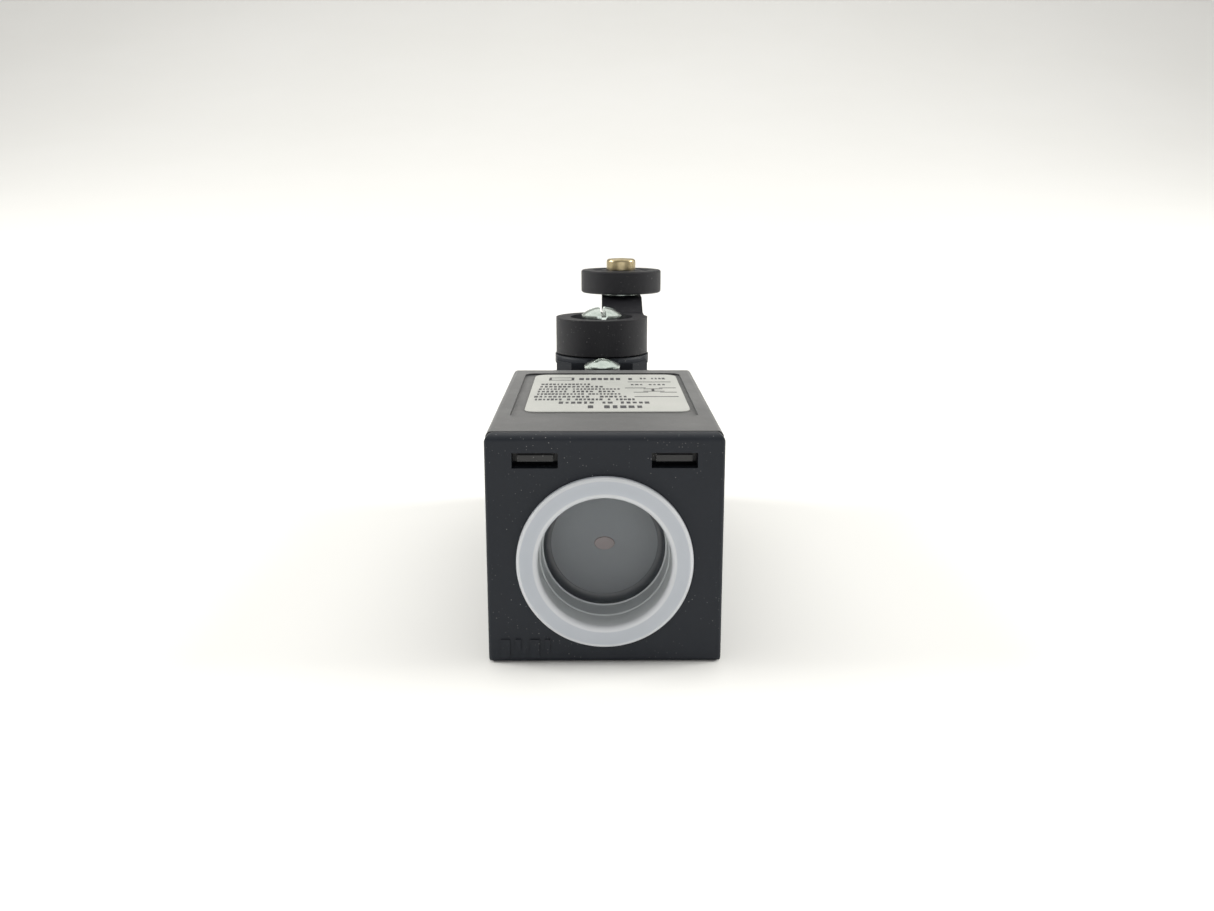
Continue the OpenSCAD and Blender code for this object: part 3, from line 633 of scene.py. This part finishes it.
def screw_tree():
    """Domed screw with a cross recess: seat at the origin, head along +Z, shank below."""
    tree, given = new_tree("screw", [("Head Radius", "Float"), ("Wall", "Float"), ("Dome", "Float"),
                                     ("Shank Radius", "Float"), ("Shank Length", "Float"),
                                     ("Slot", "Float"), ("Turn", "Rotation")])
    size = given.outputs
    top = math_node(tree, "ADD", size["Wall"], size["Dome"])
    across = math_node(tree, "MULTIPLY", size["Head Radius"], size["Head Radius"])
    up = math_node(tree, "MULTIPLY", size["Dome"], size["Dome"])
    square = math_node(tree, "ADD", across, up)
    ball_r = math_node(tree, "DIVIDE", square, math_node(tree, "MULTIPLY", size["Dome"], 2.0))
    drum = add_node(tree, "GeometryNodeMeshCylinder", Vertices=64)
    link(tree, size["Head Radius"], drum.inputs["Radius"])
    link(tree, math_node(tree, "MULTIPLY", top, 2.0), drum.inputs["Depth"])
    drum_up = transformed(tree, drum.outputs["Mesh"], vector_of(tree, z=top))
    ball = add_node(tree, "GeometryNodeMeshUVSphere", Segments=96, Rings=96)
    link(tree, ball_r, ball.inputs["Radius"])
    centre_z = math_node(tree, "SUBTRACT", top, ball_r)
    ball_up = transformed(tree, ball.outputs["Mesh"], vector_of(tree, z=centre_z))
    head = tree.nodes.new("GeometryNodeMeshBoolean")
    head.operation, head.solver = "INTERSECT", "EXACT"
    for part in (drum_up, ball_up):
        link(tree, part, head.inputs["Mesh 2"])
    wings = []
    long = math_node(tree, "MULTIPLY", size["Head Radius"], RECESS["length"])
    slim = math_node(tree, "MULTIPLY", size["Head Radius"], RECESS["width"])
    for sides in ((long, slim), (slim, size["Slot"])):
        wing = tree.nodes.new("GeometryNodeMeshCube")
        link(tree, vector_of(tree, *sides, top), wing.inputs["Size"])
        lift = math_node(tree, "MULTIPLY", top, RECESS["wing height"])
        wings.append(transformed(tree, wing.outputs["Mesh"], vector_of(tree, z=lift)))
    centre = add_node(tree, "GeometryNodeMeshCone", Vertices=24)
    centre.inputs["Radius Bottom"].default_value = 0.0
    mouth = math_node(tree, "MULTIPLY", size["Head Radius"], RECESS["centre"])
    link(tree, mouth, centre.inputs["Radius Top"])
    link(tree, top, centre.inputs["Depth"])
    lift = math_node(tree, "MULTIPLY", top, RECESS["centre height"])
    wings.append(transformed(tree, centre.outputs["Mesh"], vector_of(tree, z=lift)))
    cut = tree.nodes.new("GeometryNodeMeshBoolean")
    cut.operation, cut.solver = "DIFFERENCE", "EXACT"
    link(tree, head.outputs["Mesh"], cut.inputs["Mesh 1"])
    for wing in wings:
        link(tree, wing, cut.inputs["Mesh 2"])
    shank = add_node(tree, "GeometryNodeMeshCylinder", Vertices=40)
    link(tree, size["Shank Radius"], shank.inputs["Radius"])
    link(tree, size["Shank Length"], shank.inputs["Depth"])
    down = math_node(tree, "MULTIPLY", size["Shank Length"], -0.5)
    both = tree.nodes.new("GeometryNodeJoinGeometry")
    link(tree, cut.outputs["Mesh"], both.inputs[0])
    link(tree, transformed(tree, shank.outputs["Mesh"], vector_of(tree, z=down)), both.inputs[0])
    screws = placed(tree, size["Geometry"], both.outputs[0], Rotation=size["Turn"])
    return end_tree(tree, given, screws)


def print_row_tree():
    """Row of small printed marks of uneven width, with gaps where words would end."""
    tree, given = new_tree("print_row", [("Marks", "Int"), ("Pitch", "Float"), ("Height", "Float"),
                                         ("Fill", "Float"), ("Seed", "Int")])
    row = tree.nodes.new("GeometryNodeMeshLine")
    link(tree, given.outputs["Marks"], row.inputs["Count"])
    link(tree, vector_of(tree, x=given.outputs["Pitch"]), row.inputs["Offset"])
    gaps = tree.nodes.new("FunctionNodeRandomValue")
    gaps.data_type = "BOOLEAN"
    gaps.inputs["Probability"].default_value = 0.12
    link(tree, given.outputs["Seed"], gaps.inputs["Seed"])
    kept = tree.nodes.new("GeometryNodeDeleteGeometry")
    link(tree, row.outputs["Mesh"], kept.inputs["Geometry"])
    link(tree, gaps.outputs[3], kept.inputs["Selection"])
    mark = tree.nodes.new("GeometryNodeMeshCube")
    wide = math_node(tree, "MULTIPLY", given.outputs["Pitch"], given.outputs["Fill"])
    link(tree, vector_of(tree, wide, given.outputs["Height"], INK_T), mark.inputs["Size"])
    uneven = tree.nodes.new("FunctionNodeRandomValue")
    uneven.data_type = "FLOAT_VECTOR"
    uneven.inputs["Min"].default_value = (0.55, 0.7, 1)
    uneven.inputs["Max"].default_value = (1.0, 1.0, 1)
    link(tree, given.outputs["Seed"], uneven.inputs["Seed"])
    marks = placed(tree, kept.outputs[0], mark.outputs["Mesh"], Scale=uneven.outputs[0])
    return end_tree(tree, given, marks)


TREES = {}


def grown(build, places, material, bevel=0.0, **sizes):
    """Plain mesh of a tree's result, with one copy of its shape at each place."""
    if build.__name__ not in TREES:
        TREES[build.__name__] = build()
    tree = TREES[build.__name__]
    mesh = bpy.data.meshes.new("places")
    mesh.from_pydata([tuple(p) for p in places], [], [])
    piece = bpy.data.objects.new("growing", mesh)
    scene.collection.objects.link(piece)
    modifier = piece.modifiers.new("shape", "NODES")
    modifier.node_group = tree
    sizes["Material"] = material
    for item in tree.interface.items_tree:
        label = item.name.replace(" ", "_")
        if item.in_out == "INPUT" and label in sizes:
            modifier[item.identifier] = sizes[label]
    if bevel:
        rounding = add_rounding(piece, bevel, 2)
        rounding.limit_method, rounding.angle_limit = "ANGLE", SHARP
    bake_modifiers(piece)
    mesh = piece.data
    bpy.data.objects.remove(piece)
    mesh.materials.clear()
    mesh.materials.append(material)
    for face in mesh.polygons:
        face.material_index = 0
    return mesh


def joined(meshes):
    """One mesh from several; the first gives the materials."""
    bm = bmesh.new()
    for mesh in meshes:
        bm.from_mesh(mesh)
    for mesh in meshes[1:]:
        bpy.data.meshes.remove(mesh)
    bm.to_mesh(meshes[0])
    bm.free()
    return meshes[0]


def moved(mesh, offset):
    mesh.transform(Matrix.Translation(offset))
    return mesh


# ---- pieces ----

# Sharp edges of each copied CAD node: radius in millimetres and segments
EDGES = {
    "base_housing": (0.12, 2), "front_cover": (0.12, 3), "cover_gasket": (0.15, 2),
    "nameplate": (0.05, 1), "screw_insert": (0.1, 2), "contact_block_base": (0.2, 2),
    "contact_block_cap": (0.2, 2), "contact_nc_left": (0.08, 2), "contact_nc_right": (0.08, 2),
    "contact_no_left": (0.08, 2), "contact_no_right": (0.08, 2), "clamp_saddles": (0.1, 2),
    "contact_carrier": (0.15, 2), "bridge_nc": (0.1, 2), "bridge_no": (0.1, 2),
    "head_gasket": (0.1, 2), "head_housing": (0.15, 2), "plunger_guide": (0.15, 2),
    "head_plunger": (0.1, 2), "shaft_bush": (0.1, 2), "lever_shaft": (0.12, 2), "cam": (0.15, 2),
    "cam_pin": (0.1, 2), "circlip": (0.08, 2), "lever_coupling": (0.03, 1), "lever_arm": (0.1, 2),
    "lever_washer": (0.1, 2), "roller": (0.15, 2), "roller_bush": (0.08, 2),
    "roller_washer": (0.06, 1), "roller_axle": (0.12, 2),
}

# Screws, in millimetres: head radius, wall and dome, shank radius and length, slot length
SCREWS = {
    "cover_screw": (3.1, 0.4, 1.1, 1.75, 5.9, 3.9),
    "head_screws": (2.35, 1.3, 0.7, 1.45, 27.8, 3.0),
    "terminal_screws": (1.95, 1.2, 0.6, 1.4, 3.2, 2.5),
    "block_screws": (1.9, 0.9, 0.5, 1.1, 19.6, 2.4),
    "lever_screw": (3.7, 1.7, 1.4, 2.0, 9.5, 8.0),
}


def loose_parts(node):
    """Boxes of a CAD node's separate solids, as pairs of corners."""
    bm = bmesh.new()
    bm.from_mesh(nodes[node].data)
    bmesh.ops.remove_doubles(bm, verts=bm.verts, dist=WELD)
    boxes, left = [], set(bm.verts)
    while left:
        found, queue = set(), [next(iter(left))]
        while queue:
            vert = queue.pop()
            if vert in found:
                continue
            found.add(vert)
            queue += [edge.other_vert(vert) for edge in vert.link_edges]
        left -= found
        boxes.append(tuple(Vector(pick(v.co[i] for v in found) for i in range(3))
                           for pick in (min, max)))
    bm.free()
    return sorted(boxes, key=lambda b: tuple(round(c, 6) for c in b[0]))


def add_screws(node, turn=0.0):
    """The node's screws, each seated where its CAD solid sits; head_screws point along Y."""
    labels = ("Head_Radius", "Wall", "Dome", "Shank_Radius", "Shank_Length", "Slot")
    sizes = {label: value * MM for label, value in zip(labels, SCREWS[node])}
    along_y = node == "head_screws"
    places = []
    for low, high in loose_parts(node):
        seat = (low + high) / 2
        top = sizes["Wall"] + sizes["Dome"]
        if along_y:
            seat.y = high.y - top
        else:
            seat.z = high.z - top
        places.append(seat)
    tilt = (math.radians(-90), 0, 0) if along_y else (0, 0, math.radians(turn))
    mesh = grown(screw_tree, places, materials[slot_of(node)], 0.06 * MM, Turn=tilt, **sizes)
    smooth_by_angle(mesh)
    return add_piece(node + "_made", mesh, body_of(node), slot_of(node), (node,))


def add_springs(node, wire_r, turns):
    """The node's springs, wound between the ends of each CAD solid."""
    meshes = []
    for low, high in loose_parts(node):
        sizes = {"Mean_Radius": (high.x - low.x) / 2 - wire_r, "Wire_Radius": wire_r,
                 "Length": high.y - low.y, "Turns": turns}
        start = Vector(((low.x + high.x) / 2, low.y, (low.z + high.z) / 2))
        meshes.append(grown(spring_tree, [start], materials[slot_of(node)], **sizes))
    mesh = joined(meshes)
    smooth_by_angle(mesh, 60)
    return add_piece(node + "_wound", mesh, body_of(node), slot_of(node), (node,))


def add_seal():
    low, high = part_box("shaft_seal")
    section = (high.z - low.z) / 2
    mesh = grown(ring_tree, [(low + high) / 2], materials["seal_rubber"],
                 Mean_Radius=(high.x - low.x) / 2 - section, Section_Radius=section)
    smooth_by_angle(mesh, 60)
    return add_piece("shaft_seal_ring", mesh, "housing", "seal_rubber", ("shaft_seal",))


# Section of the blanking plug in millimetres: radius, depth behind the flange's face, and what
# the surface from the point before is: 0 flange, 1 wall, 2 floor, 3 gate mark, 4 rim with a painted
# highlight, 5 corner with painted shade
PLUG_SECTION = [
    (0, 8.8, 3), (1.05, 8.8, 3), (1.15, 9.0, 3), (7.1, 9.0, 2), (7.55, 8.92, 5), (7.85, 8.65, 5),
    (8.02, 8.2, 5), (8.06, 7.6, 5), (8.25, 7.5, 1), (8.27, 4.2, 1), (8.42, 4.05, 1), (8.45, 0.8, 1),
    (8.5, 0.45, 4), (8.62, 0.22, 4), (8.82, 0.08, 4), (9.1, 0.0, 4), (10.75, 0.0, 0), (10.98, 0.08, 4),
    (11.14, 0.24, 4), (11.2, 0.45, 4), (11.2, 1.0, 0), (11.1, 1.1, 0), (9.15, 1.1, 0), (9.15, 9.4, 0),
    (8.65, 9.9, 0), (0, 9.9, 0),
]
# Finishes 1 to 5 of the section: dark and light colour, and the share of light that passes
PLUG_FINISHES = {
    "plug_wall": ((0.72, 0.76, 0.78), (0.8, 0.83, 0.84), 0.32),
    "plug_floor": ((0.4, 0.43, 0.455), (0.45, 0.475, 0.495), 0.78),
    "plug_gate": ((0.5, 0.42, 0.41), (0.55, 0.46, 0.45), 0.7),
    # Rims painted lighter than the flange: a painted highlight on the rounded edges.
    "plug_rim": ((0.66, 0.68, 0.71), (0.72, 0.74, 0.77), 0.12),
    # Corner of the floor painted dark: painted shade in the crease between wall and floor.
    "plug_corner": ((0.12, 0.13, 0.145), (0.16, 0.17, 0.185), 0.6),
}
GATE_R = 1.2 * MM  # everything nearer the axis belongs to the gate mark
GATE_OVAL = (1.2, 0.8)  # stretch of the gate mark along X and Z


def turned(name, section, axis, front, segments=144):
    """Solid turned about a line along Y through axis; its section's depths run from front."""
    bm = bmesh.new()
    rings = []
    for r, depth, _ in section:
        if r == 0:
            rings.append([bm.verts.new((axis.x, front + depth * MM, axis.z))])
            continue
        turn = [2 * math.pi * i / segments for i in range(segments)]
        rings.append([bm.verts.new((axis.x + r * MM * math.cos(a), front + depth * MM,
                                    axis.z + r * MM * math.sin(a))) for a in turn])
    for (a, b), (_, _, finish) in zip(zip(rings, rings[1:]), section[1:]):
        for i in range(segments):
            j = (i + 1) % segments
            ends = [a[i % len(a)], a[j % len(a)], b[j % len(b)], b[i % len(b)]]
            corners = list(dict.fromkeys(ends))
            bm.faces.new(corners).material_index = finish
    bmesh.ops.recalc_face_normals(bm, faces=bm.faces)
    mesh = bpy.data.meshes.new(name)
    bm.to_mesh(mesh)
    bm.free()
    smooth_by_angle(mesh, 40)
    return mesh


def add_plug():
    """Blanking plug: clearer where its wall is thinner, with an oval gate mark in its floor, a painted
    highlight on its rounded rims and painted shade in the corner of its floor.
    """
    low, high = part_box("blanking_plug")
    axis = (low + high) / 2
    mesh = turned("blanking_plug_turned", PLUG_SECTION, axis, low.y)
    for v in mesh.vertices:
        if math.hypot(v.co.x - axis.x, v.co.z - axis.z) < GATE_R:
            v.co.x = axis.x + (v.co.x - axis.x) * GATE_OVAL[0]
            v.co.z = axis.z + (v.co.z - axis.z) * GATE_OVAL[1]
    mesh.materials.append(materials["plug_plastic"])
    for name, (dark, light, clear) in PLUG_FINISHES.items():
        mesh.materials.append(polyethylene(name, dark, light, clear))
    return add_piece("blanking_plug_turned", mesh, "plug", "plug_plastic", ("blanking_plug",))


INK_T = 0.02 * MM
# Printed rows, in millimetres: from the label's near edge, left end from its left edge,
# marks, pitch, height, fill, seed
PRINT_ROWS = [
    (3.4, 8.0, 8, 1.15, 2.3, 0.8, 11), (6.7, 4.9, 15, 0.88, 1.8, 0.8, 4),
    (9.3, 1.2, 25, 0.59, 1.5, 0.8, 5), (11.6, 1.1, 21, 0.69, 1.5, 0.82, 6),
    (13.9, 1.3, 23, 0.55, 1.4, 0.8, 7), (16.1, 1.3, 18, 0.66, 1.6, 0.82, 8),
    (18.3, 1.4, 22, 0.57, 1.4, 0.8, 9), (20.5, 1.5, 14, 0.71, 1.6, 0.82, 10),
    (22.8, 1.6, 13, 0.6, 1.5, 0.8, 12), (28.0, 7.6, 9, 0.98, 2.6, 0.92, 3),
    (28.4, 17.2, 7, 0.6, 1.6, 0.8, 14), (22.4, 15.6, 8, 0.7, 1.1, 0.8, 16),
]
# Lines of the contact symbol and of the plain frame beside the bold row, in millimetres from
# the label's near left corner: x0, y0, x1, y1
SYMBOL_LINES = [
    (15.8, 11.6, 21.9, 11.6), (15.8, 15.4, 17.6, 15.4), (19.8, 15.4, 21.9, 15.4),
    (17.3, 16.3, 20.1, 16.3), (14.6, 19.3, 17.4, 19.3), (19.8, 19.3, 22.0, 19.3),
    (17.4, 18.4, 19.9, 18.4), (18.6, 16.3, 18.6, 18.4), (15.2, 25.0, 21.6, 25.0),
    (2.6, 26.9, 6.2, 26.9), (2.6, 29.2, 6.2, 29.2), (2.6, 26.9, 2.6, 29.2), (6.2, 26.9, 6.2, 29.2),
]
LINE_W = 0.4 * MM


def flat_bar(bm, x0, y0, x1, y1, z, width):
    """Thin printed stroke between two points of the label."""
    a, b = Vector((x0, y0, z)), Vector((x1, y1, z))
    across = (b - a).normalized().cross(Vector((0, 0, 1))) * width / 2
    along = (b - a).normalized() * width / 2
    corners = [a - along - across, b + along - across, b + along + across, a - along + across]
    low = [bm.verts.new(c) for c in corners]
    high = [bm.verts.new(c + Vector((0, 0, INK_T))) for c in corners]
    bm.faces.new(low)
    bm.faces.new(high[::-1])
    for i in range(4):
        j = (i + 1) % 4
        bm.faces.new((low[j], low[i], high[i], high[j]))


def add_print():
    """Generic print: rows of marks and a plain contact symbol, with no lettering."""
    low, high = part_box("nameplate")
    ink = print_ink()
    meshes = []
    for up, left, marks, pitch, tall, fill, seed in PRINT_ROWS:
        row = grown(print_row_tree, [(0, 0, 0)], ink, Marks=marks, Pitch=pitch * MM, Height=tall * MM,
                    Fill=fill, Seed=seed)
        meshes.append(moved(row, (low.x + left * MM, low.y + up * MM, high.z + INK_T / 2)))
    mesh = joined(meshes)
    bm = bmesh.new()
    bm.from_mesh(mesh)
    for x0, y0, x1, y1 in SYMBOL_LINES:
        flat_bar(bm, low.x + x0 * MM, low.y + y0 * MM, low.x + x1 * MM, low.y + y1 * MM,
                 high.z, LINE_W)
    bmesh.ops.recalc_face_normals(bm, faces=bm.faces)
    bm.to_mesh(mesh)
    bm.free()
    return add_piece("nameplate_print", mesh, "cover", "label_foil")


scene.view_settings.view_transform = "Standard"
add_camera()
materials = make_materials()
add_stage()
add_world()
add_area_light("overhead", (0, 0.5, 1.2), (0, 0.3, 0), (2.2, 2.0), 14.4, WARM_WHITE)
add_area_light("left_box", (-0.8, 0.1, 0.42), (0, 0, 0.02), (0.4, 0.4), 5.2, WARM_WHITE)
add_area_light("right_box", (0.8, 0.1, 0.42), (0, 0, 0.02), (0.4, 0.4), 5.2, WARM_WHITE)
add_area_light("front_fill", (0, -1.2, 0.2), (0, -0.06, 0), (1.2, 0.5), 3.1, (1, 1, 1))

for node, (bevel, segments) in EDGES.items():
    softened(node, bevel, segments)
add_plug()
for node, turn in (("cover_screw", 52), ("head_screws", 0), ("terminal_screws", 20),
                   ("block_screws", 50), ("lever_screw", 6)):
    add_screws(node, turn)
add_seal()
add_springs("bridge_springs", 0.2 * MM, 5)
for node, wire_r, turns, keep in (("plunger_spring", 0.35 * MM, 6, 0.683),
                                  ("return_spring", 0.25 * MM, 5, 0.474)):
    spring = add_springs(node, wire_r, turns)
    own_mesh(spring)
add_print()
